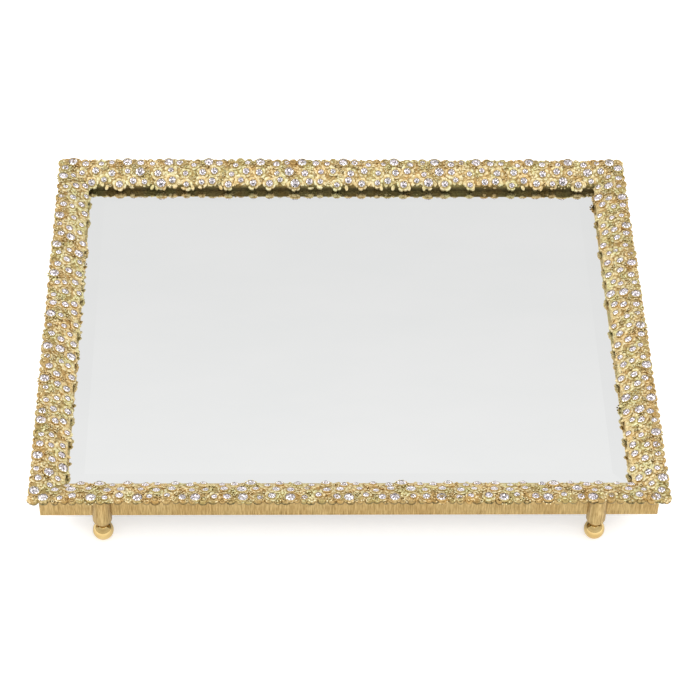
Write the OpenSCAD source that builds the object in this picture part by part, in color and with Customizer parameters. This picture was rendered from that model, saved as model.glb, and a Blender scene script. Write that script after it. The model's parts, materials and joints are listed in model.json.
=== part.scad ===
// Footed mirror tray for a dresser: four jewelled cast rails on a brushed metal box,
// a bevelled mirror inside, and four half-round legs on ball feet.
// The origin is on the floor under the middle of the tray, +X is the width, +Y the depth
// with the back at +Y, and +Z is up. All sizes are in millimetres.

/* [Tray] */
// Overall width over the scalloped rails
tray_w = 382; // [300:1:460]
// Overall depth over the scalloped rails
tray_d = 306; // [240:1:380]
// Height of the rails' underside above the floor
rail_base_z = 36.4; // [35:0.1:42]

/* [Jewelled rails] */
// Width of a rail in plan
rail_w = 22; // [21:0.5:26]
// Distance of the scallops' roots inside the overall edge
scallop_depth = 0.8; // [0.4:0.1:1.2]
// Radius of one scallop
scallop_r = 3.2; // [2.6:0.1:3.6]
// Distance between scallops along a rail
scallop_pitch = 7.6; // [7:0.1:10]

/* [Crystals] */
// Diameter of the small stones
small_stone_d = 3.5; // [3:0.1:4]
// Diameter of the medium stones
medium_stone_d = 4.4; // [4:0.1:4.8]
// Diameter of the large stones
large_stone_d = 5.8; // [5:0.1:5.8]
// Distance between stones along the outer row
outer_pitch = 9; // [8.8:0.1:12]
// Distance between stones along the middle row
middle_pitch = 9.8; // [9:0.1:12]
// Distance between stones along the inner row
inner_pitch = 9; // [8.8:0.1:12]
// How far a stone may stray along its row
row_stray = 1.1; // [0:0.1:1.4]
// Distance from a rail's mitre to the first stone of a row
mitre_gap = 4.4; // [4.2:0.1:8]

/* [Box] */
// Inset of the box's outer face from the overall edge
box_inset = 6.7; // [5:0.1:7]
// Sheet thickness of the box walls
sheet_t = 1.2; // [0.8:0.1:1.4]
// Height of the box walls' lower edge above the floor
box_base_z = 19.5; // [17:0.5:19.5]
// Width of the flange that turns in under the base panel
flange_w = 9; // [8:0.5:12]
// Thickness of the base panel
panel_t = 1.2; // [0.8:0.1:1.2]
// Thickness of the felt under the base panel
felt_t = 0.8; // [0.5:0.1:1]

/* [Mirror] */
// Thickness of the mirror glass
glass_t = 4; // [3.5:0.1:4]
// Height of the mirror's face above the floor
mirror_z = 28; // [27.5:0.1:28]
// Width of the ground bevel round the mirror
bevel_w = 23.5; // [20:0.5:26]
// How far the glass edge is ground down
bevel_drop = 1.5; // [1:0.1:2]
// Thickness of the board behind the mirror
board_t = 1; // [0.8:0.1:1]

/* [Legs and feet] */
// Distance of a leg's axis from the middle of the tray
leg_x = 147.5; // [110:0.5:150]
// Diameter of a leg
leg_d = 11.6; // [9:0.2:11.8]
// Diameter of a ball foot
ball_d = 12.7; // [11:0.1:13.5]
// Height of a leg's lower end above the floor
leg_base_z = 14.4; // [13.5:0.1:15]
// Diameter of the stud between a ball foot and its leg
stud_d = 3; // [2.5:0.5:4]

/* [Hidden] */
$fn = 48;

gold = [0.80, 0.69, 0.44];
brushed_gold = [0.78, 0.66, 0.42];
polished_gold = [0.86, 0.70, 0.36];
crystal_tint = [0.93, 0.93, 0.97];

half_w = tray_w / 2;
half_d = tray_d / 2;

// Stone sizes, and the rows of stones from the outer edge inward
small = 0;
medium = 1;
large = 2;
stone_d = [small_stone_d, medium_stone_d, large_stone_d];
row_pitch = [outer_pitch, middle_pitch, inner_pitch];
strip_margin = 0.2;

// Sides of the tray: 0 front, 1 right, 2 back, 3 left, each turned a quarter from the last.
front = 0;
right = 1;
back = 2;
left = 3;
function side_length(side) = side % 2 == 0 ? tray_w : tray_d;
function side_reach(side) = side % 2 == 0 ? half_d : half_w;

// Rail section as [distance inward from the overall edge, height above the floor]. The top
// is three flat strips that step down towards the mirror. The underside bears on the glass,
// and a short lip overhangs it.
strip_edges = [[2.2, rail_base_z + 1.8], [8.6, rail_base_z + 1.2],
    [15, rail_base_z - 1.4], [rail_w, rail_base_z - 5]];
lip_z = mirror_z + 1.8;
lip_overhang = 1.6;
ledge_inner = rail_w - lip_overhang;
box_gap = 0.6;
ledge_outer = box_inset + sheet_t + box_gap;
rim_t = 0.8;

glass_inset = ledge_outer;
bevel_slope = bevel_drop / bevel_w;
function bevel_z(s) = mirror_z - bevel_slope * (glass_inset + bevel_w - s);

rail_section = concat(
    [[ledge_outer, rail_base_z], [scallop_depth, rail_base_z],
        [scallop_depth, rail_base_z + rim_t]],
    strip_edges,
    [[rail_w, lip_z], [ledge_inner, lip_z], [ledge_inner, bevel_z(ledge_inner)],
        [ledge_outer, bevel_z(ledge_outer)]]);

// Stack under the mirror
glass_z = mirror_z - glass_t;
board_z = glass_z - board_t;
flange_top_z = box_base_z + sheet_t;
panel_z = flange_top_z;
pads_z = panel_z + panel_t;
board_gap = 0.4;
panel_gap = 0.3;

// Corner blocks and the screws that go up through them
block_leg = 15;
block_gap = 0.2;
block_top_gap = 0.4;
block_top_z = bevel_z(glass_inset) - block_top_gap;
corner_clip = block_leg + 1;
screw_inset = glass_inset + 4.6;
screw_d = 3;
screw_hole_d = 3.4;
screw_head_d = 6;
screw_head_t = 1.6;
screw_tip_z = rail_base_z - 4;

// Legs and feet
leg_r = leg_d / 2;
ball_r = ball_d / 2;
leg_end_r = 2.6;
neck_d = 5.4;
seat_depth = 0.8;
neck_base_z = ball_d - seat_depth;
leg_y = half_d - box_inset;
stud_base_z = 4;
stud_cover = 0.5;
stud_top_z = box_base_z - stud_cover;

// Lays children out along one side: local +X runs along the rail, +Y points inward from
// the overall edge and +Z is up.
module at_side(side) {
    rotate([0, 0, 90 * side])
        translate([0, -side_reach(side), 0])
            children();
}

// A bar of the given section, [inward, up] points, running the length of a side, with both
// ends cut to the mitre
module mitred_bar(side, section) {
    span = side_length(side);
    mitre = 30;
    intersection() {
        rotate([90, 0, 90])
            linear_extrude(span, center = true)
                polygon(section);
        linear_extrude(2 * rail_base_z)
            polygon([[-span / 2, 0], [span / 2, 0], [span / 2 - mitre, mitre],
                [mitre - span / 2, mitre]]);
    }
}

// Row of round scallops that stands out from a rail's outer edge
module scallops(side) {
    count = floor((side_length(side) - 4 * scallop_r) / scallop_pitch);
    for (i = [0 : count])
        translate([(i - count / 2) * scallop_pitch, scallop_r, rail_base_z])
            cylinder(r = scallop_r, h = rim_t);
}

// Cast rail, with half of a blind screw hole in each mitre
module rail(side) {
    color(gold)
        difference() {
            at_side(side) {
                mitred_bar(side, rail_section);
                scallops(side);
            }
            screw_shafts(screw_d);
        }
}

// Middle, half width and downward slope of each of the three flat strips
function strip_mid(row) = (strip_edges[row] + strip_edges[row + 1]) / 2;
function strip_half(row) = norm(strip_edges[row + 1] - strip_edges[row]) / 2;
function strip_slope(row) =
    let (run = strip_edges[row + 1] - strip_edges[row]) atan2(-run[1], run[0]);

// Stones in a row are numbered from its middle, and both ends keep clear of the mitres.
function row_span(side, row) = side_length(side) - 2 * (strip_mid(row)[0] + mitre_gap);
function row_count(side, row) = floor(row_span(side, row) / row_pitch[row]);
function row_step(side, row) = row_span(side, row) / row_count(side, row);

// A repeatable wave in -1 to 1 that never lines up between neighbours
function wave(i, row, side, phase) = sin(137.5 * i + 73 * row + 31 * side + phase);

// Stone size by place: the outer row carries the most large stones.
function stone_size(i, row, side) =
    let (k = (7 * i + 3 * row + 5 * side) % 10)
    k < (row == 0 ? 3 : 1) ? large : k < 6 ? medium : small;

// Keeps the end stones from straying past the mitre
function end_fade(i, count) = i == 0 || i == count ? 0 : 1;

// A flat-backed brilliant: a thin girdle with a crown that narrows to the table
module brilliant(d) {
    girdle_h = 0.12 * d;
    crown_h = 0.2 * d;
    table_d = 0.58 * d;
    cylinder(d = d, h = girdle_h);
    translate([0, 0, girdle_h])
        cylinder(d1 = d, d2 = table_d, h = crown_h);
}

// Every stone of one size on one side, each flat on its strip
module crystals(side, size) {
    d = stone_d[size];
    color(crystal_tint)
        at_side(side)
            for (row = [0 : 2], i = [0 : row_count(side, row)])
                if (stone_size(i, row, side) == size) {
                    count = row_count(side, row);
                    along = (i - count / 2) * row_step(side, row)
                        + row_stray * wave(i, row, side, 0) * end_fade(i, count);
                    across = (strip_half(row) - d / 2 - strip_margin) * wave(i, row, side, 120);
                    mid = strip_mid(row);
                    translate([along, mid[0], mid[1]])
                        rotate([-strip_slope(row), 0, 0])
                            translate([0, across, 0])
                                brilliant(d);
                }
}

// One wall of the box: a sheet with a flange turned in along its lower edge
module box_wall(side) {
    outer = box_inset;
    inner = box_inset + sheet_t;
    color(brushed_gold)
        difference() {
            at_side(side)
                mitred_bar(side, [[outer, box_base_z], [outer, rail_base_z],
                    [inner, rail_base_z], [inner, flange_top_z],
                    [inner + flange_w, flange_top_z], [inner + flange_w, box_base_z]]);
            screw_shafts(screw_hole_d);
        }
}

// Rectangle centred on the tray, set in from the overall edge on every side
module plate(inset, thickness) {
    translate([inset - half_w, inset - half_d, 0])
        cube([tray_w - 2 * inset, tray_d - 2 * inset, thickness]);
}

// Puts children at the four corners, turned so that local +X and +Y both point inward
module at_corners() {
    for (corner = [0 : 3])
        at_corner(corner)
            children();
}

// Corners: 0 front left, 1 front right, 2 back right, 3 back left
module at_corner(corner) {
    sx = corner == 0 || corner == 3 ? -1 : 1;
    sy = corner < 2 ? -1 : 1;
    translate([sx * half_w, sy * half_d, 0])
        rotate([0, 0, 90 * corner])
            children();
}

// Where the rail screws pass, as plain round shafts of a diameter
module screw_shafts(d) {
    at_corners()
        translate([screw_inset, screw_inset, box_base_z - 1])
            cylinder(d = d, h = screw_tip_z - box_base_z + 1);
}

// Three-cornered block in a corner of the box, on the flange and under the rails
module corner_block(corner) {
    inset = box_inset + sheet_t + block_gap;
    base_z = flange_top_z + panel_t;
    color("dimgray")
        difference() {
            at_corner(corner)
                translate([inset, inset, base_z])
                    linear_extrude(block_top_z - base_z)
                        polygon([[0, 0], [block_leg, 0], [0, block_leg]]);
            screw_shafts(screw_hole_d);
        }
}

// Cuts the four corners off a plate so that it clears the corner blocks
module clip_corners() {
    difference() {
        children();
        at_corners()
            translate([glass_inset - 1, glass_inset - 1, 0])
                linear_extrude(rail_base_z)
                    polygon([[0, 0], [corner_clip + 2, 0], [0, corner_clip + 2]]);
    }
}

// Bevelled mirror, with the corners that the rails hide clipped off
module mirror_glass() {
    wedge = [[glass_inset - 1, bevel_z(glass_inset - 1)],
        [glass_inset + bevel_w, mirror_z],
        [glass_inset + bevel_w, mirror_z + 1], [glass_inset - 1, mirror_z + 1]];
    color([0.90, 0.91, 0.90])
        clip_corners()
            difference() {
                translate([0, 0, glass_z])
                    plate(glass_inset, glass_t);
                for (side = [front, right, back, left])
                    at_side(side)
                        rotate([90, 0, 90])
                            linear_extrude(side_length(side) + 2, center = true)
                                polygon(wedge);
            }
}

module backing_board() {
    color("saddlebrown")
        clip_corners()
            translate([0, 0, board_z])
                plate(glass_inset + board_gap, board_t);
}

// Six foam tape strips between the board and the base panel
module foam_pads() {
    pad = [60, 18];
    reach_x = 110;
    reach_y = 80;
    color("white")
        for (x = [-reach_x, 0, reach_x], y = [-reach_y, reach_y])
            translate([x - pad[0] / 2, y - pad[1] / 2, pads_z])
                cube([pad[0], pad[1], board_z - pads_z]);
}

module base_panel() {
    color("silver")
        difference() {
            translate([0, 0, panel_z])
                plate(box_inset + sheet_t + panel_gap, panel_t);
            screw_shafts(screw_hole_d);
        }
}

module base_felt() {
    color([0.09, 0.09, 0.10])
        translate([0, 0, panel_z - felt_t])
            plate(box_inset + sheet_t + flange_w + panel_gap, felt_t);
}

// Four screws that go up through the flange, base panel and corner block into the rails
module rail_screws() {
    color("gray")
        at_corners()
            translate([screw_inset, screw_inset, box_base_z - screw_head_t]) {
                cylinder(d = screw_head_d, h = screw_head_t);
                cylinder(d = screw_d, h = screw_tip_z - box_base_z + screw_head_t);
            }
}

// A leg or foot place: 0 front left, 1 front right, 2 back right, 3 back left. Local -Y
// faces outward, away from the box wall.
module at_leg(place) {
    sx = place == 0 || place == 3 ? -1 : 1;
    turn = place < 2 ? 0 : 180;
    translate([sx * leg_x, (place < 2 ? -1 : 1) * leg_y, 0])
        rotate([0, 0, turn])
            children();
}

// Half-round leg on the face of the box, full round below it, with a softened lower end
// and a short neck that is dished to seat the ball
module leg(place) {
    color(brushed_gold)
        at_leg(place)
            difference() {
                rotate_extrude() {
                    translate([0, neck_base_z])
                        square([neck_d / 2, leg_base_z - neck_base_z]);
                    translate([0, leg_base_z])
                        square([leg_r - leg_end_r, leg_end_r]);
                    intersection() {
                        translate([leg_r - leg_end_r, leg_base_z + leg_end_r])
                            circle(r = leg_end_r);
                        translate([0, leg_base_z])
                            square([leg_r, leg_end_r]);
                    }
                    translate([0, leg_base_z + leg_end_r])
                        square([leg_r, rail_base_z - leg_base_z - leg_end_r]);
                }
                translate([-leg_d, 0, box_base_z])
                    cube([2 * leg_d, leg_d, rail_base_z]);
                translate([0, 0, ball_r])
                    sphere(r = ball_r);
                translate([0, 0, stud_base_z])
                    cylinder(d = stud_d, h = stud_top_z - stud_base_z);
            }
}

// Ball foot with a blind hole for its stud
module ball_foot(place) {
    color(polished_gold)
        at_leg(place)
            difference() {
                translate([0, 0, ball_r])
                    sphere(r = ball_r);
                translate([0, 0, stud_base_z])
                    cylinder(d = stud_d, h = ball_d);
            }
}

// Studs that join each ball foot to its leg
module foot_studs() {
    color("gray")
        for (place = [0 : 3])
            at_leg(place)
                translate([0, 0, stud_base_z])
                    cylinder(d = stud_d, h = stud_top_z - stud_base_z);
}

rail(front);  // rail_front
rail(back);  // rail_back
rail(left);  // rail_left
rail(right);  // rail_right
crystals(front, large);  // large_crystals_front
crystals(back, large);  // large_crystals_back
crystals(left, large);  // large_crystals_left
crystals(right, large);  // large_crystals_right
crystals(front, medium);  // medium_crystals_front
crystals(back, medium);  // medium_crystals_back
crystals(left, medium);  // medium_crystals_left
crystals(right, medium);  // medium_crystals_right
crystals(front, small);  // small_crystals_front
crystals(back, small);  // small_crystals_back
crystals(left, small);  // small_crystals_left
crystals(right, small);  // small_crystals_right
box_wall(front);  // box_wall_front
box_wall(back);  // box_wall_back
box_wall(left);  // box_wall_left
box_wall(right);  // box_wall_right
corner_block(0);  // corner_block_front_left
corner_block(1);  // corner_block_front_right
corner_block(2);  // corner_block_back_right
corner_block(3);  // corner_block_back_left
mirror_glass();
backing_board();
foam_pads();
base_panel();
base_felt();
rail_screws();
leg(0);  // leg_front_left
leg(1);  // leg_front_right
leg(2);  // leg_back_right
leg(3);  // leg_back_left
ball_foot(0);  // ball_foot_front_left
ball_foot(1);  // ball_foot_front_right
ball_foot(2);  // ball_foot_back_right
ball_foot(3);  // ball_foot_back_left
foot_studs();
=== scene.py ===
"""Looks of the footed mirror tray: jewelled cast rails, brushed box, bevelled mirror, ball feet."""

import json
import math

import bmesh
import bpy
import numpy as np
from mathutils import Matrix, Vector, noise


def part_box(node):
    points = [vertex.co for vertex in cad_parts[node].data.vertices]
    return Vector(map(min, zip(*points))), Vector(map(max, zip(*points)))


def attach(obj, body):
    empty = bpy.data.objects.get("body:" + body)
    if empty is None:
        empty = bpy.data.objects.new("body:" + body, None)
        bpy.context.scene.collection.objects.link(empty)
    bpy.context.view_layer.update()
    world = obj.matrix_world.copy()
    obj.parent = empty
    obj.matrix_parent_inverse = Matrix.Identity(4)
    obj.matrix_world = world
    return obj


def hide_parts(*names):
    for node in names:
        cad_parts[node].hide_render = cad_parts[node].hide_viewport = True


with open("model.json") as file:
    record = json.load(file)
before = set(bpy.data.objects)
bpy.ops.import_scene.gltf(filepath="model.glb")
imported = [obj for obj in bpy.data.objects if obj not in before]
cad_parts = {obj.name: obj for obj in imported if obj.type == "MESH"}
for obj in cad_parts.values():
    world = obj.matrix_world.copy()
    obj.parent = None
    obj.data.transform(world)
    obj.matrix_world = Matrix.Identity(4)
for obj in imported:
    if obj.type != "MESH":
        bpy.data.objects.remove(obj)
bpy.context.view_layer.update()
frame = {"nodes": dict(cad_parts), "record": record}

MM = 0.001
BODY = "root"
SIDES = ("front", "right", "back", "left")
SIZES = ("large", "medium", "small")

# ---------------------------------------------------------------- camera and room


def add_camera():
    """Camera above the front of the tray, looking down at about 46 degrees."""
    place = Vector((-0.0404, -1.0886, 1.1326))
    pitch, yaw, roll = (math.radians(a) for a in (45.86, -2.29, 1.64))
    data = bpy.data.cameras.new("camera")
    data.sensor_width = 36
    data.lens = 125.4
    data.clip_end = 20
    camera = bpy.data.objects.new("camera", data)
    turn = (
        Matrix.Rotation(yaw, 4, "Z")
        @ Matrix.Rotation(math.pi / 2 - pitch, 4, "X")
        @ Matrix.Rotation(roll, 4, "Z")
    )
    camera.matrix_world = Matrix.Translation(place) @ turn
    bpy.context.scene.collection.objects.link(camera)
    bpy.context.scene.camera = camera


def add_softbox(name, place, aim, size, watts):
    """A soft rectangular lamp at a place, turned to its aim."""
    data = bpy.data.lights.new(name, "AREA")
    data.shape = "RECTANGLE"
    data.size, data.size_y = size
    data.energy = watts
    lamp = bpy.data.objects.new(name, data)
    lamp.location = place
    direction = Vector(aim) - Vector(place)
    lamp.rotation_euler = direction.to_track_quat("-Z", "Y").to_euler()
    bpy.context.scene.collection.objects.link(lamp)


def add_lights():
    add_softbox("key_softbox", (-1.3, 0.4, 1.2), (0, 0, 0), (1.0, 0.9), 8)
    add_softbox("top_softbox", (0.2, -0.3, 1.9), (0, 0, 0), (1.6, 1.4), 8)
    add_softbox("fill_softbox", (1.4, 0.3, 1.1), (0, 0, 0), (0.8, 0.9), 5)


def add_world():
    """Pale studio surroundings: bright low down and again half way up, with a dimmer band
    between them and a dimmer ceiling."""
    world = bpy.data.worlds.new("studio")
    world.use_nodes = True
    tree = world.node_tree
    tree.nodes.clear()
    out = tree.nodes.new("ShaderNodeOutputWorld")
    shade = tree.nodes.new("ShaderNodeBackground")
    coords = tree.nodes.new("ShaderNodeTexCoord")
    split = tree.nodes.new("ShaderNodeSeparateXYZ")
    ramp = tree.nodes.new("ShaderNodeValToRGB")
    stops = ramp.color_ramp.elements
    stops[0].position, stops[0].color = 0.0, (0.92, 0.92, 0.91, 1)
    stops[1].position, stops[1].color = 1.0, (0.74, 0.74, 0.74, 1)
    for position, level in ((0.25, 1.0), (0.62, 0.845), (0.70, 0.895), (0.765, 0.995), (0.80, 0.985)):
        stop = stops.new(position)
        stop.color = (level, level, level, 1)
    tree.links.new(coords.outputs["Generated"], split.inputs[0])
    tree.links.new(split.outputs["Z"], ramp.inputs[0])
    tree.links.new(ramp.outputs["Color"], shade.inputs["Color"])
    tree.links.new(shade.outputs[0], out.inputs["Surface"])
    bpy.context.scene.world = world


def add_floor():
    """A plain white floor that glows a little, so that shadows on it stay faint."""
    mesh = bpy.data.meshes.new("floor")
    half = 6.0
    corners = [(-half, -half, 0), (half, -half, 0), (half, half, 0), (-half, half, 0)]
    mesh.from_pydata(corners, [], [(0, 1, 2, 3)])
    floor = bpy.data.objects.new("floor", mesh)
    bpy.context.scene.collection.objects.link(floor)
    material = bpy.data.materials.new("floor_white")
    material.use_nodes = True
    shader = material.node_tree.nodes["Principled BSDF"]
    shader.inputs["Base Color"].default_value = (0.93, 0.93, 0.925, 1)
    shader.inputs["Roughness"].default_value = 0.9
    shader.inputs["Specular IOR Level"].default_value = 0.1
    shader.inputs["Emission Color"].default_value = (1, 1, 1, 1)
    shader.inputs["Emission Strength"].default_value = 0.52
    mesh.materials.append(material)


# ---------------------------------------------------------------- materials


class Shader:
    """A node material with a Principled shader, and short ways to add the nodes behind it."""

    def __init__(self, name, **sockets):
        self.material = bpy.data.materials.new(name)
        self.material.use_nodes = True
        self.tree = self.material.node_tree
        self.surface = self.tree.nodes["Principled BSDF"]
        for socket, value in sockets.items():
            self.surface.inputs[socket.replace("_", " ")].default_value = value
        self.coords = self.node("TexCoord").outputs["Object"]

    def node(self, kind, **settings):
        made = self.tree.nodes.new("ShaderNode" + kind)
        for key, value in settings.items():
            setattr(made, key, value)
        return made

    def link(self, a, b):
        self.tree.links.new(a, b)

    def scaled(self, x, y, z):
        """Object coordinates stretched by a factor along each axis."""
        mapping = self.node("Mapping")
        mapping.inputs["Scale"].default_value = (x, y, z)
        self.link(self.coords, mapping.inputs["Vector"])
        return mapping.outputs[0]

    def noise(self, vector, scale, detail=2.0, roughness=0.5):
        made = self.node("TexNoise")
        made.inputs["Scale"].default_value = scale
        made.inputs["Detail"].default_value = detail
        made.inputs["Roughness"].default_value = roughness
        self.link(vector, made.inputs["Vector"])
        return made.outputs[0]

    def attribute(self, name):
        made = self.node("Attribute")
        made.attribute_name = name
        return made.outputs["Fac"]

    def ramp(self, value, *stops):
        """Colours at places along a value: each stop is (place, colour)."""
        made = self.node("ValToRGB")
        elements = made.color_ramp.elements
        while len(elements) < len(stops):
            elements.new(0.5)
        for element, (place, colour) in zip(elements, stops):
            element.position = place
            element.color = (*colour, 1)
        self.link(value, made.inputs[0])
        return made.outputs["Color"]

    def mix(self, amount, a, b, blend="MIX"):
        """Mixes two colours. Each of the three is a socket or a value."""
        made = self.node("Mix", data_type="RGBA", blend_type=blend)
        # For colours, this node's sockets are 0 for the factor, 6 and 7 in and 2 out
        for socket, value in ((made.inputs[0], amount), (made.inputs[6], a), (made.inputs[7], b)):
            if isinstance(value, bpy.types.NodeSocket):
                self.link(value, socket)
            else:
                socket.default_value = value
        return made.outputs[2]

    def spread(self, value, low, high):
        """Maps a value in 0 to 1 onto low to high."""
        made = self.node("MapRange")
        made.inputs["To Min"].default_value = low
        made.inputs["To Max"].default_value = high
        self.link(value, made.inputs["Value"])
        return made.outputs[0]

    def bump(self, height, distance, strength=1.0):
        made = self.node("Bump")
        made.inputs["Distance"].default_value = distance
        made.inputs["Strength"].default_value = strength
        self.link(height, made.inputs["Height"])
        self.link(made.outputs[0], self.surface.inputs["Normal"])

    def colour(self, socket):
        self.link(socket, self.surface.inputs["Base Color"])

    def roughness(self, socket):
        self.link(socket, self.surface.inputs["Roughness"])


def cast_gold():
    """Pale plated casting: a painted highlight on the raised rims, and warm, dark painted shade where
    it is recessed.
    """
    s = Shader("cast_gold", Metallic=1.0)
    place = s.scaled(1, 1, 1)
    relief = s.attribute("relief")
    mottle = s.noise(place, 260, 3)
    # Painted shade in the recesses and painted highlight on the rims, from the relief values
    tone = s.ramp(
        relief,
        (0.0, (0.13, 0.112, 0.046)),
        (0.3, (0.56, 0.41, 0.185)),
        (0.65, (0.85, 0.73, 0.43)),
        (1.0, (0.97, 0.93, 0.70)),
    )
    cast = s.noise(place, 110, 2)
    patches = s.ramp(
        cast,
        (0.36, (1.0, 0.90, 0.76)),
        (0.5, (1.0, 1.0, 0.98)),
        (0.64, (0.94, 1.0, 0.90)),
    )
    grime = s.ramp(mottle, (0.3, (0.90, 0.84, 0.74)), (0.6, (1.0, 1.0, 1.0)))
    grit = s.ramp(s.noise(place, 900, 2), (0.38, (0.72, 0.70, 0.66)), (0.58, (1.0, 1.0, 1.0)))
    # The painted shade and highlight, times the casting's own patches and grime
    worn_and_shaded = s.mix(1.0, s.mix(1.0, tone, patches, "MULTIPLY"), grime, "MULTIPLY")
    s.colour(s.mix(1.0, worn_and_shaded, grit, "MULTIPLY"))
    s.roughness(s.spread(mottle, 0.44, 0.62))
    s.bump(s.noise(place, 900, 3), 0.0006, 0.8)
    return s.material


def brushed_gold():
    """Plate brushed up and down, so that the streaks run with Z."""
    s = Shader("brushed_gold", Metallic=1.0)
    fine = s.noise(s.scaled(1, 1, 0.09), 1900, 3)
    broad = s.noise(s.scaled(1, 1, 0.05), 800, 3)
    patches = s.noise(s.scaled(1, 1, 0.4), 60, 2)
    streaks = s.ramp(
        broad,
        (0.32, (0.39, 0.282, 0.115)),
        (0.5, (0.505, 0.37, 0.164)),
        (0.68, (0.605, 0.452, 0.213)),
    )
    scratch = s.ramp(fine, (0.38, (0.66, 0.61, 0.54)), (0.60, (1.0, 1.0, 1.0)))
    tarnish = s.ramp(patches, (0.3, (0.90, 0.84, 0.76)), (0.6, (1.0, 1.0, 1.0)))
    s.colour(s.mix(1.0, s.mix(1.0, streaks, scratch, "MULTIPLY"), tarnish, "MULTIPLY"))
    s.roughness(s.spread(fine, 0.36, 0.56))
    s.bump(fine, 0.00005, 0.7)
    return s.material


def polished_gold():
    """Smooth warm plate of the ball feet, with a faint haze."""
    s = Shader("polished_gold", Metallic=1.0)
    haze = s.noise(s.scaled(1, 1, 1), 180, 3)
    s.colour(s.ramp(haze, (0.3, (0.54, 0.37, 0.14)), (0.7, (0.64, 0.48, 0.215))))
    s.roughness(s.spread(haze, 0.05, 0.13))
    s.bump(s.noise(s.scaled(1, 1, 1), 900, 2), 0.00002, 0.25)
    return s.material


def mirror_silver():
    """Silvered glass: a clean mirror with a trace of green and a little wiping haze."""
    s = Shader("mirror_silver", Metallic=1.0)
    haze = s.noise(s.scaled(1, 2.5, 1), 14, 3)
    s.colour(s.ramp(haze, (0.3, (0.852, 0.860, 0.856)), (0.7, (0.870, 0.874, 0.870))))
    s.roughness(s.spread(haze, 0.0, 0.018))
    s.bump(s.noise(s.scaled(1, 1, 1), 8, 1), 0.00001, 0.05)
    return s.material


def crystal_glass():
    """Clear stone, very slightly pink in places."""
    s = Shader("crystal_glass", Roughness=0.0, IOR=1.58, Transmission_Weight=1.0)
    tint = s.noise(s.scaled(1, 1, 1), 90, 1)
    s.colour(s.ramp(tint, (0.35, (0.98, 0.94, 0.96)), (0.65, (1.0, 1.0, 0.99))))
    return s.material


def crystal_foil():
    """Mirror foil behind a stone, in facets painted with reflections of slightly different
    brightness.
    """
    s = Shader("crystal_foil", Metallic=1.0)
    facet = s.attribute("relief")
    s.colour(s.ramp(
        facet,
        (0.0, (0.34, 0.31, 0.33)),
        (0.4, (0.84, 0.81, 0.84)),
        (1.0, (0.97, 0.94, 0.95)),
    ))
    s.roughness(s.spread(s.noise(s.scaled(1, 1, 1), 700, 1), 0.03, 0.1))
    return s.material


def felt():
    """Black napped felt."""
    s = Shader("felt", Roughness=0.95)
    s.surface.inputs["Sheen Weight"].default_value = 0.5
    s.surface.inputs["Specular IOR Level"].default_value = 0.15
    fibre = s.noise(s.scaled(1, 1, 1), 2600, 4, 0.7)
    s.colour(s.ramp(fibre, (0.3, (0.008, 0.008, 0.009)), (0.75, (0.045, 0.045, 0.05))))
    s.bump(fibre, 0.0003, 0.9)
    return s.material


def plain(name, dark, light, rough, scale, metallic=0.0, depth=0.00005):
    """A plain mottled finish for the hidden pieces."""
    s = Shader(name, Metallic=metallic)
    grain = s.noise(s.scaled(1, 1, 1), scale, 4, 0.6)
    s.colour(s.ramp(grain, (0.3, dark), (0.7, light)))
    s.roughness(s.spread(grain, rough * 0.8, min(1.0, rough * 1.2)))
    s.bump(grain, depth, 0.6)
    return s.material


# ---------------------------------------------------------------- mesh tools


class Casting:
    """Gathers small shapes, in millimetres, into one mesh with a relief value at each point, which
    the materials paint as shade, highlight and reflection.
    """

    def __init__(self):
        self.points, self.relief, self.faces, self.slots = [], [], [], []
        self.count = 0

    def add(self, points, faces, relief, slot=0):
        self.points.append(points)
        self.relief.append(np.broadcast_to(relief, len(points)))
        self.faces.extend([tuple(i + self.count for i in face) for face in faces])
        self.slots.extend([slot] * len(faces))
        self.count += len(points)

    def build(self, name, materials, smooth=True):
        mesh = bpy.data.meshes.new(name)
        mesh.from_pydata((np.concatenate(self.points) * MM).tolist(), [], self.faces)
        for material in materials:
            mesh.materials.append(material)
        mesh.polygons.foreach_set("material_index", self.slots)
        mesh.polygons.foreach_set("use_smooth", [smooth] * len(self.faces))
        attribute = mesh.attributes.new("relief", "FLOAT", "POINT")
        attribute.data.foreach_set("value", np.concatenate(self.relief).astype(np.float32))
        mesh.update()
        made = bpy.data.objects.new(name, mesh)
        bpy.context.scene.collection.objects.link(made)
        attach(made, BODY)
        return made


def revolve(profile, sides, flutes=0.0, stretch=1.0):
    """A closed round shape from (radius, height) pairs that run from the top's middle outward and
    down to the underside's middle. Flutes raise and lower every other point of the middle rings."""
    points, faces = [(0.0, 0.0, profile[0][1])], []
    rings = profile[1:-1]
    for ring, (radius, height) in enumerate(rings):
        for i in range(sides):
            a = 2 * math.pi * i / sides
            lift = flutes * (1 if i % 2 else -1) * (ring in (1, 2))
            points.append((stretch * radius * math.cos(a), radius * math.sin(a), height + lift))
    points.append((0.0, 0.0, profile[-1][1]))
    last = len(points) - 1
    for i in range(sides):
        j = (i + 1) % sides
        faces.append((0, 1 + i, 1 + j))
        for ring in range(len(rings) - 1):
            a, b = 1 + ring * sides, 1 + (ring + 1) * sides
            faces.append((a + i, b + i, b + j, a + j))
        a = 1 + (len(rings) - 1) * sides
        faces.append((last, a + j, a + i))
    return np.array(points), faces


def ring_shape(profile, sides):
    """A closed ring from a loop of (radius, height) pairs."""
    points, faces = [], []
    for radius, height in profile:
        for i in range(sides):
            a = 2 * math.pi * i / sides
            points.append((radius * math.cos(a), radius * math.sin(a), height))
    loops = len(profile)
    for k in range(loops):
        a, b = k * sides, (k + 1) % loops * sides
        for i in range(sides):
            j = (i + 1) % sides
            faces.append((a + i, b + i, b + j, a + j))
    return np.array(points), faces


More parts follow.
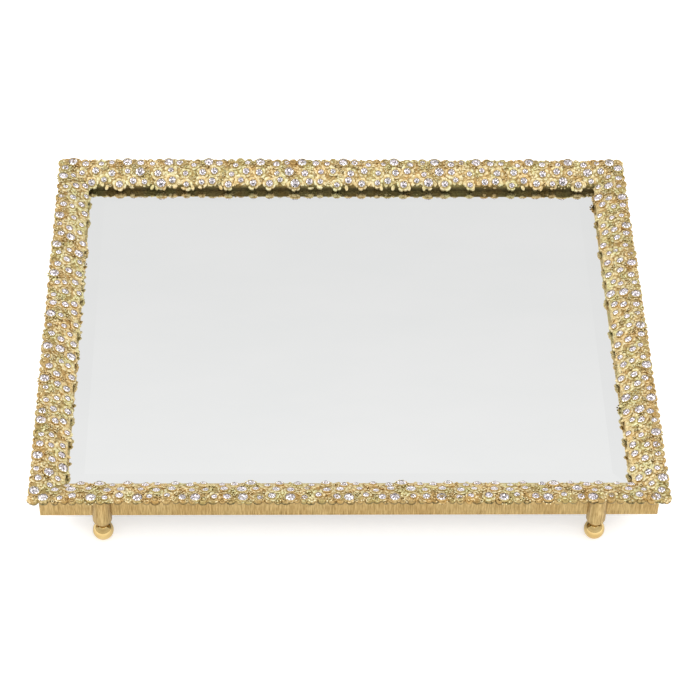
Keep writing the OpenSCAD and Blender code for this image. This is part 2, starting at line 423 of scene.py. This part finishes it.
def spun(angle):
    """Rows are the axes of a piece turned about its own third axis."""
    c, s = math.cos(angle), math.sin(angle)
    return np.array([[c, s, 0], [-s, c, 0], [0, 0, 1]])


def leaned(angle):
    """Rows are the axes of a piece leaned about its own second axis."""
    c, s = math.cos(angle), math.sin(angle)
    return np.array([[c, 0, s], [0, 1, 0], [-s, 0, c]])


# ---------------------------------------------------------------- the rails
# Lengths are in millimetres. A place on a rail is the distance along it from its middle and
# the distance s in from the overall edge.

# How far each side's outer edge is from the tray's middle
REACH = {
    "front": -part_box("rail_front")[0].y / MM,
    "back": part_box("rail_back")[1].y / MM,
    "left": -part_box("rail_left")[0].x / MM,
    "right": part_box("rail_right")[1].x / MM,
}
RAIL_W = (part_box("rail_front")[1].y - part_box("rail_front")[0].y) / MM
RAIL_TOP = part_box("rail_front")[1].z / MM
# Underside of the rail outside the mirror
RIM_Z = RAIL_TOP - 1.8
# The mirror's bevel rises from the ledge's outer edge to the mirror's flat face
MIRROR_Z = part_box("mirror_glass")[1].z / MM
LEDGE_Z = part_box("rail_front")[0].z / MM
LEDGE_OUTER = (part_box("mirror_glass")[0].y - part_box("rail_front")[0].y) / MM
BEVEL_W = 23.5
# Least gap between the petals and the bevel
CLEARANCE = 0.1

# Top of a rail as (s, height), as the CAD strips lie
STRIPS = ((0.0, RAIL_TOP - 1.2), (2.2, RAIL_TOP), (8.6, RAIL_TOP - 0.6),
          (15.0, RAIL_TOP - 3.2), (RAIL_W, RAIL_TOP - 6.8))

# A cut stone spreads a little beyond the plain girdle that stands for it
SHOWN_SIZE = 1.06
# Stones nearer the outer edge than this keep their petals inside the scallops
OUTER_ROW = 7.5
# Large stones of that row sit this much nearer the edge than their CAD stones
PROUD = 1.2
# Stones further in than this have petals that reach over the mirror's edge
INNER_ROW = 16.0

# How many petals a flower round a small or medium stone may have, and one round a large stone
PETAL_COUNTS = (5, 6, 6, 7)
LARGE_PETALS = 8
# Least and greatest petal past a small or medium stone, and the petal past a large one
PETAL_LENGTHS = (1.8, 2.5)
LARGE_PETAL_LENGTH = 1.7
# Greatest petal over the mirror, and least petal beside the scallops
LONGEST_PETAL = 3.3
SHORTEST_PETAL = 1.0
# How far down the petals over the mirror go: nearly to it, but for the back rail's
INNER_DEPTH = {"front": 3.0, "right": 3.0, "back": 2.0, "left": 3.0}
# Grains in a large stone's collar, and the radius of their ring in stone radii
COLLAR_GRAINS = 12
COLLAR = 1.38
# What fills the gaps between the flowers, as (radius, tries, kind)
FILLERS = ((2.4, 600, "rosette"), (0.95, 900, "hole"), (0.6, 1500, "bead"))

# Scallops start this far from a corner, and a corner's flower has its middle this far in
EDGE_START = 4.5
CORNER_IN = 3.6
# Depth of the thicker rosettes of the outer edge
EDGE_DEPTH = 0.9
# A scallop's random number below the first of these makes it a petal, below the second a hollow
# bead, and otherwise a rosette
PETALS_BELOW, HOLES_BELOW = 0.35, 0.75
# Share of the petal tips over the mirror that reach far out
LONG_TIPS = 0.17

# Relief values paint shade and highlight into the colour: they run from 0, dark painted shade in
# the recesses, to 1, a bright painted highlight on the rims. The scallops keep this share of
# theirs, which paints shade along the outer edge
EDGE_SHADE = 0.42
# Least relief value of the petals over the mirror and of the wall under them, which keeps the
# painted shade there light
INNER_TONE = 0.58
# The back rail's inner wall is left in painted shadow
SHADED_TONE = 0.05
# Relief value of the bed between the flowers, painted shade there, how far the bed is sunk below
# the rail's top, and how much its roughness raises it and its relief value, which paints a
# highlight on its bumps and shade in its hollows
BED_TONE = 0.3
BED_DEPTH = 0.3
BED_ROUGH = 0.3
BED_BUMP_SHADE = 0.4


def rail_half_length(side):
    """A rail reaches as far along as the sides next to it reach out."""
    return REACH["left"] if side in ("front", "back") else REACH["front"]


def surface_z(s):
    """Height of a rail's top at a distance in from the overall edge."""
    return np.interp(s, [p[0] for p in STRIPS], [p[1] for p in STRIPS])


def ledge_z(s):
    """Height of the mirror's bevel, which a rail's underside lies on."""
    return LEDGE_Z + (MIRROR_Z - LEDGE_Z) * (s - LEDGE_OUTER) / BEVEL_W


def surface_slope(s):
    """Angle by which the top falls towards the mirror."""
    return math.atan2(surface_z(s - 1) - surface_z(s + 1), 2)


def to_world(side, points):
    """Rail places (along, inward, up) to the row frame, in millimetres."""
    a = math.pi / 2 * SIDES.index(side)
    c, s = math.cos(a), math.sin(a)
    along, depth = points[:, 0], points[:, 1] - REACH[side]
    return np.stack([c * along - s * depth, s * along + c * depth, points[:, 2]], 1)


def to_rail(side, points):
    """The row frame to rail places, in millimetres."""
    a = -math.pi / 2 * SIDES.index(side)
    c, s = math.cos(a), math.sin(a)
    x, y = points[:, 0], points[:, 1]
    return np.stack([c * x - s * y, s * x + c * y + REACH[side], points[:, 2]], 1)


def tilt(slope):
    """Rows are a rail strip's own axes: along, down the slope, and outward normal."""
    c, s = math.cos(slope), math.sin(slope)
    return np.array([[1, 0, 0], [0, c, -s], [0, s, c]])


def islands(node):
    """The separate bodies of a CAD node, each as its points in millimetres."""
    mesh = bmesh.new()
    mesh.from_mesh(node.data)
    bmesh.ops.remove_doubles(mesh, verts=mesh.verts, dist=1e-6)
    seen, bodies = set(), []
    for start in mesh.verts:
        if start in seen:
            continue
        body, todo = [], [start]
        seen.add(start)
        while todo:
            vert = todo.pop()
            body.append(vert.co / MM)
            for edge in vert.link_edges:
                other = edge.other_vert(vert)
                if other not in seen:
                    seen.add(other)
                    todo.append(other)
        bodies.append(np.array(body))
    mesh.free()
    return bodies


def find_stones(side, size):
    """Each stone of a CAD node as (place along the rail, distance in, radius)."""
    stones = []
    for body in islands(frame["nodes"][f"{size}_crystals_{side}"]):
        places = to_rail(side, body)
        middle = (places.min(0) + places.max(0)) / 2
        radius = SHOWN_SIZE * (places[:, 0].max() - places[:, 0].min()) / 2
        proud = PROUD if size == "large" and middle[1] < OUTER_ROW else 0.0
        stones.append((middle[0], middle[1] - proud, radius))
    return sorted(stones)


class Rail:
    """Everything that is cast and set on one side of the tray."""

    def __init__(self, side):
        self.side = side
        self.half = rail_half_length(side)
        self.rng = np.random.default_rng(40 + SIDES.index(side))
        self.stones = {size: find_stones(side, size) for size in SIZES}
        self.taken = []
        self.cast = Casting()

    def inside(self, along, s, margin=0.0):
        """Whether a place is on this side of both mitres."""
        return abs(along) < self.half - s - margin

    def put(self, shape, along, s, lift, turn, relief, lean=0.0, droop=0.0, scale=1.0,
            cast=None, slot=0):
        """Sets a shape on the rail's slope at a place, turned about the slope's normal and
        tipped further towards the mirror by its droop. No point goes down to the glass."""
        points, faces = shape
        axes = leaned(lean) @ spun(turn) @ tilt(surface_slope(s) + droop)
        base = np.array([along, s, surface_z(s)]) + lift * tilt(surface_slope(s))[2]
        placed = (np.asarray(points) * scale) @ axes + base
        placed[:, 2] = np.maximum(placed[:, 2], ledge_z(placed[:, 1]) + CLEARANCE)
        (cast or self.cast).add(to_world(self.side, placed), faces, relief, slot)

    def put_petal(self, shape, relief, middle, angle, reach, lean, lift, scale):
        """Sets one petal at a reach and an angle from a middle, on the rail's slope there."""
        along, s = middle
        strip_axes = tilt(surface_slope(s))
        base = np.array([along, s, surface_z(s)]) + lift * strip_axes[2]
        outward = math.cos(angle) * strip_axes[0] + math.sin(angle) * strip_axes[1]
        base = base + reach * outward
        points, faces = shape
        axes = leaned(lean) @ spun(angle) @ strip_axes
        placed = (np.asarray(points) * scale) @ axes + base
        self.cast.add(to_world(self.side, placed), faces, relief)


def profile_relief(values, sides):
    """Relief for each point of a revolved shape, from one value for each pair of its profile."""
    middle = np.repeat(values[1:-1], sides)
    return np.concatenate([[values[0]], middle, [values[-1]]])


# Thick rounded petal with a shallow dish, for the outer edge
PETAL_SIDES = 14
PETAL = revolve(((0, 0.22), (0.45, 0.25), (0.78, 0.36), (0.95, 0.28), (1.03, -0.02),
                 (0.9, -0.6), (0, -0.7)), PETAL_SIDES, flutes=0.03, stretch=1.1)
# Painted highlight on the dish's rim, painted shade in the dish and underneath
PETAL_TONE = profile_relief((0.55, 0.62, 0.9, 0.85, 0.45, 0.15, 0.0), PETAL_SIDES)

# Longer petal, for the tips over the mirror
TIP = revolve(((0, 0.2), (0.5, 0.22), (0.85, 0.16), (1.0, -0.05), (0.85, -0.8), (0, -1.0)),
              PETAL_SIDES, flutes=0.02, stretch=1.7)
# Painted highlight along the top, painted shade on the underside
TIP_TONE = profile_relief((0.7, 0.8, 0.85, 0.4, 0.1, 0.1), PETAL_SIDES)

# Grain of radius 1
BEAD_SIDES = 8
BEAD = revolve(((0, 1.0), (0.6, 0.8), (0.95, 0.3), (0.95, -0.3), (0, -0.9)), BEAD_SIDES)
# Painted highlight on top, painted shade underneath
BEAD_TONE = profile_relief((0.95, 0.85, 0.55, 0.2, 0.0), BEAD_SIDES)

# Rim round a stone of radius 1
CUP_SIDES = 20
CUP = ring_shape(((1.0, -0.1), (1.0, 0.27), (1.06, 0.36), (1.15, 0.30), (1.2, 0.0),
                  (1.2, -0.4)), CUP_SIDES)
# Painted shade on the cup's inner wall, which gives the stone a dark outline, and on its foot
CUP_TONE = np.repeat((0.05, 0.2, 0.55, 0.5, 0.25, 0.0), CUP_SIDES)

# Hollow bead of radius 1
HOLE_SIDES = 10
HOLE = ring_shape(((0.45, -0.2), (0.5, 0.45), (0.75, 0.62), (1.0, 0.4), (1.05, -0.4)), HOLE_SIDES)
# Painted shade in the hollow and at the foot, painted highlight on the top of the rim
HOLE_TONE = np.repeat((0.0, 0.3, 0.9, 0.7, 0.1), HOLE_SIDES)

# Share of the way from the cup to a petal's end, height and relief along the petal's middle; the
# relief paints shade at the cup and under the end, and a highlight on the crest
ROSETTE_RINGS = ((0.0, 0.10, 0.30), (0.22, 0.06, 0.62), (0.55, 0.13, 0.84), (0.84, 0.16, 0.98),
                 (0.98, 0.04, 0.78), (1.03, -0.25, 0.36), (0.97, -0.75, 0.12))
SECTORS_PER_PETAL = 8


def rosette(rng, inner, outer, petals, thick=0.0):
    """A ring of petals cast in one, as height over a polar grid, from a cup out to rounded ends.
    Grooves part the petals, and each petal's end is a round lobe with fine flutes. A thick
    rosette goes further down into the casting."""
    sectors = petals * SECTORS_PER_PETAL
    lifts = rng.uniform(-0.14, 0.14, petals)
    reaches = rng.uniform(0.9, 1.06, petals)
    points, relief, faces = [], [], []
    for ring, (share, height, tone) in enumerate(ROSETTE_RINGS):
        for i in range(sectors):
            a = 2 * math.pi * i / sectors
            petal, sector = divmod(i, SECTORS_PER_PETAL)
            across = 2 * sector / SECTORS_PER_PETAL - 1
            lobe = (0.76 + 0.24 * math.sqrt(max(0.0, 1 - across * across))) * reaches[petal]
            groove = abs(across) ** 3 * min(1.0, 1.6 * share)
            radius = inner + (outer * lobe - inner) * share
            flute = 0.05 * (1 if i % 2 else -1) * (ring in (2, 3)) + lifts[petal] * share
            depth = thick * (ring == len(ROSETTE_RINGS) - 1)
            points.append((radius * math.cos(a), radius * math.sin(a),
                           height - 0.5 * groove + flute - depth))
            # Painted shade in the grooves between the petals
            relief.append(max(0.0, tone - 0.5 * groove))
    for ring in range(len(ROSETTE_RINGS) - 1):
        a, b = ring * sectors, (ring + 1) * sectors
        for i in range(sectors):
            j = (i + 1) % sectors
            faces.append((a + i, b + i, b + j, a + j))
    last = (len(ROSETTE_RINGS) - 1) * sectors
    return (np.array(points), faces + close_ring(0, last, sectors)), np.array(relief)


def close_ring(first, last, sectors):
    """Quads that join a shape's first ring to its last, under the shape."""
    return [(first + i, first + (i + 1) % sectors, last + (i + 1) % sectors, last + i)
            for i in range(sectors)]


def add_collar(rail, along, s, r):
    """A ring of grains round a stone."""
    for i in range(COLLAR_GRAINS):
        a = 2 * math.pi * (i + 0.5) / COLLAR_GRAINS
        rail.put(BEAD, along + COLLAR * r * math.cos(a), s + COLLAR * r * math.sin(a),
                 0.0, 0, BEAD_TONE, scale=0.6)
    rail.taken.append((along, s, 1.5 * r))


def flower_radius(rng, s, r, large):
    """How far a flower's petals reach from the middle of its stone: past the mirror's edge from
    the inner row, and not past the scallops from the outer row."""
    outer = r + (LARGE_PETAL_LENGTH if large else rng.uniform(*PETAL_LENGTHS))
    if s > INNER_ROW:
        return min(max(outer, RAIL_W - s + rng.uniform(-0.6, 1.3)), r + LONGEST_PETAL)
    if s < OUTER_ROW:
        return max(min(outer, s - rng.uniform(0.6, 1.6)), r + SHORTEST_PETAL)
    return outer


def add_flower(rail, along, s, r, large):
    """A rosette of petals round a stone, which droops over the mirror from the inner row."""
    rng = rail.rng
    petals = LARGE_PETALS if large else rng.choice(PETAL_COUNTS)
    outer = flower_radius(rng, s, r, large)
    droop = thick = 0.0
    if s > INNER_ROW:
        droop, thick = rng.uniform(0.05, 0.15), INNER_DEPTH[rail.side]
    shape, tone = rosette(rng, 1.14 * r, outer, petals, thick)
    if s > INNER_ROW:
        # The petals over the mirror keep only light painted shade
        tone = np.maximum(tone, INNER_TONE)
    rail.put(shape, along, s, rng.uniform(-0.15, 0.15) - droop, rng.uniform(0, 2 * math.pi), tone,
             lean=rng.uniform(-0.07, 0.07), droop=droop)
    rail.taken.append((along, s, outer))


def add_settings(rail):
    """A cup for every stone, with a flower round it. About half the large stones have a collar
    instead."""
    for size in SIZES:
        large = size == "large"
        for along, s, r in rail.stones[size]:
            rail.put(CUP, along, s, 0, rail.rng.uniform(0, 1), CUP_TONE, scale=r)
            if large and rail.rng.uniform() < 0.5:
                add_collar(rail, along, s, r)
            else:
                add_flower(rail, along, s, r, large)


def clear_of(rail, along, s, need):
    """Whether a circle of this radius is outside everything placed so far."""
    return all((along - a) ** 2 + (s - b) ** 2 > (need + r) ** 2 for a, b, r in rail.taken)


def add_fillers(rail):
    """Small rosettes, hollow beads and grains in the gaps, biggest first."""
    rng = rail.rng
    for radius, tries, kind in FILLERS:
        for _ in range(tries):
            along = rng.uniform(-rail.half, rail.half)
            s = rng.uniform(1.6, RAIL_W - 1.0)
            if not rail.inside(along, s, 0.5) or not clear_of(rail, along, s, radius * 0.45):
                continue
            turn = rng.uniform(0, 2 * math.pi)
            if kind == "rosette":
                shape, tone = rosette(rng, 0.75, min(2.5, s - 0.6), 5)
                rail.put(shape, along, s, -0.1, turn, tone, lean=rng.uniform(-0.1, 0.1))
                rail.put(BEAD, along, s, 0.0, 0, BEAD_TONE, scale=0.8)
            elif kind == "hole":
                rail.put(HOLE, along, s, -0.05, turn, HOLE_TONE, scale=radius)
            else:
                rail.put(BEAD, along, s, 0.0, 0, BEAD_TONE, scale=radius)
            rail.taken.append((along, s, radius))


def add_scallops(rail):
    """Petals, hollow beads and small rosettes in an uneven row along the outer edge."""
    rng = rail.rng
    # Every scallop's relief values are scaled down, which paints shade along the outer edge
    along = EDGE_START - rail.half
    while along < rail.half - EDGE_START:
        scale = rng.uniform(2.0, 3.1)
        set_in = scale + rng.uniform(0.0, 1.0)
        kind = rng.uniform()
        if kind < PETALS_BELOW:
            lean, lift = rng.uniform(-0.2, 0.05), rng.uniform(-0.9, -0.4)
            rail.put_petal(PETAL, EDGE_SHADE * PETAL_TONE, (along, set_in), -math.pi / 2, 0.0,
                           lean, lift, scale)
        elif kind < HOLES_BELOW:
            sunk = -0.45 * scale
            rail.put(HOLE, along, set_in, sunk, rng.uniform(0, 1), EDGE_SHADE * HOLE_TONE,
                     lean=rng.uniform(-0.1, 0.1), scale=scale)
            rail.put(BEAD, along, set_in, sunk, 0, EDGE_SHADE * BEAD_TONE, scale=0.55 * scale)
        else:
            small, tone = rosette(rng, 0.5, scale, 5, EDGE_DEPTH)
            rail.put(small, along, set_in, -0.5, rng.uniform(0, 2 * math.pi), EDGE_SHADE * tone)
            rail.put(BEAD, along, set_in, -0.5, 0, EDGE_SHADE * BEAD_TONE, scale=0.7)
        # A low grain fills the notch before the next scallop
        notch_in = 2.1 + rng.uniform(0, 0.6)
        rail.put(BEAD, along + scale, notch_in, -1.0, 0, EDGE_SHADE * BEAD_TONE,
                 scale=rng.uniform(0.8, 1.2))
        along += 1.95 * scale + rng.uniform(-0.2, 1.0)


def add_corners(rail):
    """A round flower at each end of the outer edge."""
    for end in (-1, 1):
        corner, tone = rosette(rail.rng, 0.9, 3.3, 7, EDGE_DEPTH)
        rail.put(corner, end * (rail.half - CORNER_IN), CORNER_IN, -0.3, 0, tone)
        rail.put(BEAD, end * (rail.half - CORNER_IN), CORNER_IN, -0.1, 0, BEAD_TONE, scale=1.0)


def add_tips(rail):
    """Petal tips that hang over the mirror."""
    rng = rail.rng
    # The tips keep only light painted shade underneath
    tone = np.maximum(0.85 * TIP_TONE, INNER_TONE)
    root = RAIL_W - 2.9
    lean, lift = -0.08, -0.35
    span = rail.half - RAIL_W - 1
    along = -span
    while along < span:
        long = rng.uniform() < LONG_TIPS
        angle = math.pi / 2 + rng.uniform(-0.5, 0.5)
        reach = 3.2 if long else rng.uniform(-0.7, 0.8)
        scale = 1.2 if long else rng.uniform(1.1, 1.5)
        rail.put_petal(TIP, tone, (along, root), angle, reach, lean, lift, scale)
        along += rng.uniform(2.2, 4.8)


def bed_section(side):
    """Outline of the bed across a rail as (distance in, height, relief), and how many of its
    points are on top. Its inner edge is a rounded lip over a wall, which stands on the mirror's
    bevel."""
    outer, lip, inner = 2.6, RAIL_W - 0.7, RAIL_W - 1.6
    # Painted shadow on the back rail's wall and light painted shade on the others' walls, which the
    # top near the lip shares; painted shade on the rest of the top and on the underside
    wall = SHADED_TONE if side == "back" else INNER_TONE
    top = [(s, surface_z(s) - BED_DEPTH, BED_TONE if s < inner - 1.5 else wall)
           for s in np.linspace(outer, lip, 24)]
    under = [(lip, surface_z(lip) - 1.1, wall), (inner, surface_z(lip) - 1.6, wall),
             (inner, ledge_z(inner), wall), (LEDGE_OUTER, ledge_z(LEDGE_OUTER), 0.0),
             (LEDGE_OUTER, RIM_Z, 0.0), (outer, RIM_Z, 0.1)]
    return top + under, len(top)


def add_bed(rail):
    """The casting's own bar under the flowers, with a rough top, mitred at both ends."""
    section, on_top = bed_section(rail.side)
    steps = int(2 * rail.half)
    points, relief = [], []
    for k in range(steps + 1):
        share = 2 * k / steps - 1
        for n, (s, z, tone) in enumerate(section):
            along = share * (rail.half - s)
            place = to_world(rail.side, np.array([[along, s, z]]))[0]
            # Bumps raise the top and lighten it, and hollows sink and darken it: painted highlight
            # and shade
            bump = 0.0
            if 0 < n < on_top - 1:
                bump = noise.noise(Vector(place) * 0.9) + 0.5 * noise.noise(Vector(place) * 2.1)
            points.append(place + np.array([0, 0, BED_ROUGH * bump]))
            relief.append(tone + BED_BUMP_SHADE * bump)
    loop = len(section)
    faces = []
    for k in range(steps):
        a, b = k * loop, (k + 1) * loop
        for i in range(loop):
            j = (i + 1) % loop
            faces.append((a + i, a + j, b + j, b + i))
    faces.append(tuple(range(loop - 1, -1, -1)))
    faces.append(tuple(steps * loop + i for i in range(loop)))
    rail.cast.add(np.array(points), faces, np.clip(relief, 0, 1))


def brilliant_shape():
    """A cut stone of radius 1: table, star, kite and girdle facets over a flat back."""
    table_r, mid_r, table_z, mid_z, girdle_z = 0.56, 0.80, 0.64, 0.47, 0.24
    points = [(0.0, 0.0, table_z)]
    for radius, z, count, shift in ((table_r, table_z, 8, 0), (mid_r, mid_z, 8, 0.5),
                                    (1.0, girdle_z, 16, 0), (1.0, 0.0, 16, 0)):
        for i in range(count):
            a = 2 * math.pi * (i + shift) / count
            points.append((radius * math.cos(a), radius * math.sin(a), z))
    points.append((0.0, 0.0, 0.0))
    # Index of the first point of each ring, and of the back's middle
    table, mid, girdle, base, back = 1, 9, 17, 33, 49
    faces = []
    for i in range(8):
        j = (i + 1) % 8
        faces.append((0, table + i, table + j))
        faces.append((table + i, mid + i, table + j))
        faces.append((table + i, mid + (i - 1) % 8, girdle + 2 * i, mid + i))
        faces.append((mid + i, girdle + 2 * i, girdle + 2 * i + 1))
        faces.append((mid + i, girdle + 2 * i + 1, girdle + (2 * i + 2) % 16))
    for i in range(16):
        j = (i + 1) % 16
        faces.append((girdle + i, base + i, base + j, girdle + j))
        faces.append((back, base + j, base + i))
    return np.array(points), faces


# Relief values of the foil's facets, which paint reflections of different brightness into them,
# and the share of the facets that has each
FOIL_SHADES = (0.05, 0.45, 0.8, 1.0)
FOIL_SHARES = (0.14, 0.16, 0.3, 0.4)


def foil_shape():
    """The mirror-backed star inside a stone of radius 1, in steep facets round a low middle."""
    sides = 16
    points = [(0.0, 0.0, 0.06)]
    for i in range(sides):
        a = 2 * math.pi * i / sides
        r, z = (0.42, 0.34) if i % 2 else (0.5, 0.14)
        points.append((r * math.cos(a), r * math.sin(a), z))
    for i in range(sides):
        a = 2 * math.pi * (i + 0.5) / sides
        points.append((0.9 * math.cos(a), 0.9 * math.sin(a), 0.05))
    points.append((0.0, 0.0, 0.02))
    star, rim, back = 1, 1 + sides, 1 + 2 * sides
    faces = []
    for i in range(sides):
        j = (i + 1) % sides
        faces.append((0, star + i, star + j))
        faces.append((star + i, rim + i, star + j))
        faces.append((star + j, rim + i, rim + j))
        faces.append((back, rim + j, rim + i))
    return np.array(points), faces


def split_faces(shape):
    """Gives every face its own points, so that each facet can hold one relief value."""
    points, faces = shape
    loose = [points[list(face)] for face in faces]
    starts = np.cumsum([0] + [len(face) for face in faces])
    return np.concatenate(loose), [tuple(range(starts[i], starts[i + 1]))
                                   for i in range(len(faces))]


def add_stones(rail, glass, foil):
    """Cut stones in their cups, one piece for each size, which stand for the CAD stones."""
    crown = brilliant_shape()
    star = split_faces(foil_shape())
    for size in SIZES:
        cast = Casting()
        for along, s, r in rail.stones[size]:
            turn = rail.rng.uniform(0, 2 * math.pi)
            rail.put(crown, along, s, 0.02, turn, 1.0, scale=r, cast=cast, slot=0)
            # Each facet of the foil gets a painted reflection, from dark to bright
            shades = rail.rng.choice(FOIL_SHADES, len(star[1]), p=FOIL_SHARES)
            tones = np.concatenate([[shade] * len(face) for shade, face in zip(shades, star[1])])
            rail.put(star, along, s, 0.02, turn, tones, scale=r, cast=cast, slot=1)
        piece = cast.build(f"{size}_stones_{rail.side}", [glass, foil], smooth=False)
        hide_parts(f"{size}_crystals_{rail.side}")


def build_rail(side, gold, glass, foil):
    rail = Rail(side)
    add_settings(rail)
    add_scallops(rail)
    add_corners(rail)
    add_tips(rail)
    add_fillers(rail)
    add_bed(rail)
    piece = rail.cast.build(f"jewelled_rail_{side}", [gold])
    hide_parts(f"rail_{side}")
    add_stones(rail, glass, foil)


# ---------------------------------------------------------------- carried-over CAD nodes


def dress(node, material):
    """Gives a CAD node's object one material."""
    slots = frame["nodes"][node].data.materials
    slots.clear()
    slots.append(material)


def dress_cad_nodes():
    finishes = {
        "brushed_gold": brushed_gold(),
        "polished_gold": polished_gold(),
        "mirror": mirror_silver(),
        "felt": felt(),
        "board": plain("hardboard", (0.16, 0.09, 0.045), (0.28, 0.17, 0.09), 0.8, 500),
        "foam": plain("foam_tape", (0.74, 0.74, 0.72), (0.88, 0.88, 0.86), 0.9, 900),
        "panel_metal": plain("mill_panel", (0.60, 0.60, 0.61), (0.74, 0.74, 0.75), 0.4, 300, 1.0),
        "block_metal": plain("zinc_block", (0.34, 0.34, 0.35), (0.48, 0.48, 0.50), 0.5, 600, 1.0),
        "steel": plain("zinc_steel", (0.52, 0.52, 0.50), (0.68, 0.67, 0.63), 0.35, 900, 1.0),
    }
    for part in frame["record"]["subparts"]:
        finish = finishes.get(part["material_slot"])
        if finish:
            dress(part["node"], finish)


# ---------------------------------------------------------------- build


def main():
    bpy.context.scene.view_settings.view_transform = "Standard"
    add_camera()
    add_lights()
    add_world()
    add_floor()
    gold, glass, foil = cast_gold(), crystal_glass(), crystal_foil()
    for side in SIDES:
        build_rail(side, gold, glass, foil)
    dress_cad_nodes()


main()
